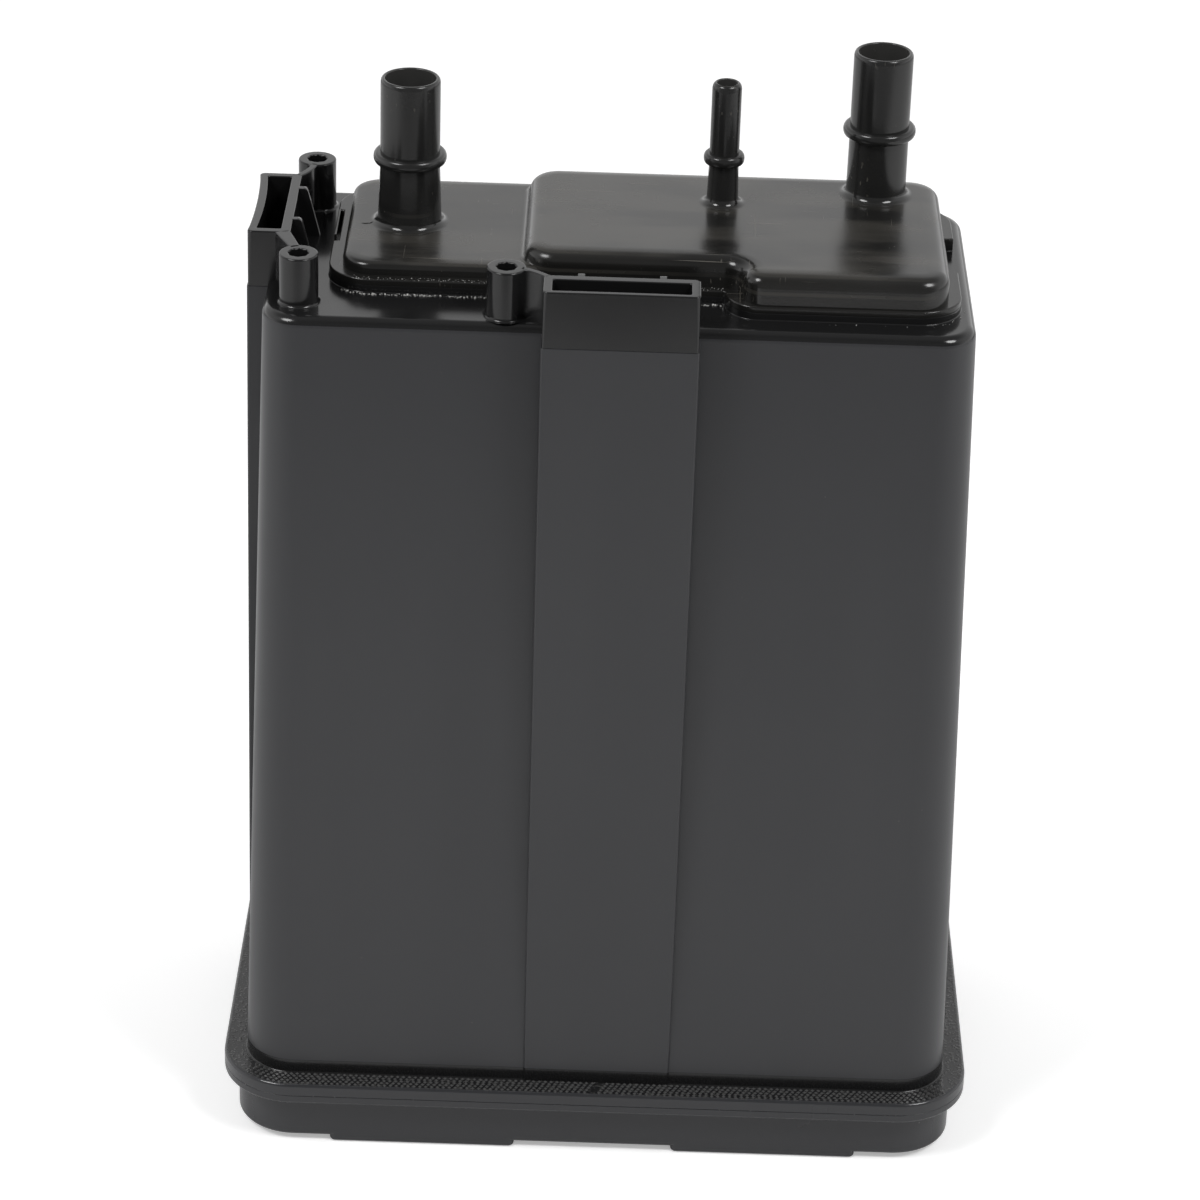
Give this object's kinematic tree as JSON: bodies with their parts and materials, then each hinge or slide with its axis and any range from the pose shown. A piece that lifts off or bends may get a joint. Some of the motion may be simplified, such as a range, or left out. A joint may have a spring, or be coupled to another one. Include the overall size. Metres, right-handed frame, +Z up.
{
  "type": "charcoal canister",
  "caption": "Black moulded fuel vapour canister with a welded lid carrying hose ports, bracket pockets, screw bosses and sealed carbon beds inside.",
  "frame": {"origin": "middle of the underside, on the plane that the rails stand on", "axes": "+Z up along the ports, +X to the right seen from the front, front face with the wide bracket strip towards -Y"},
  "size_m": [0.2092, 0.1178, 0.3001],
  "materials": {
    "housing_plastic": "satin black moulded plastic",
    "lid_plastic": "semi-gloss black moulded plastic",
    "plate_plastic": "plain black moulded plastic",
    "activated_carbon": "packed carbon pellets, modelled as one block",
    "filter_felt": "pressed polyester felt",
    "spring_steel": "plain spring steel wire"
  },
  "bodies": {
    "root": {"canister_body": "housing_plastic", "top_cover": "lid_plastic", "vent_tube": "lid_plastic", "tank_tube": "lid_plastic", "purge_tube": "lid_plastic", "bottom_cover": "housing_plastic", "main_upper_filter": "filter_felt", "main_lower_filter": "filter_felt", "vent_upper_filter": "filter_felt", "vent_lower_filter": "filter_felt", "main_carbon_bed": "activated_carbon", "vent_carbon_bed": "activated_carbon", "main_pressure_plate": "plate_plastic", "vent_pressure_plate": "plate_plastic", "main_spring_left": "spring_steel", "main_spring_right": "spring_steel", "vent_spring_front": "spring_steel", "vent_spring_rear": "spring_steel"}
  },
  "joints": []
}
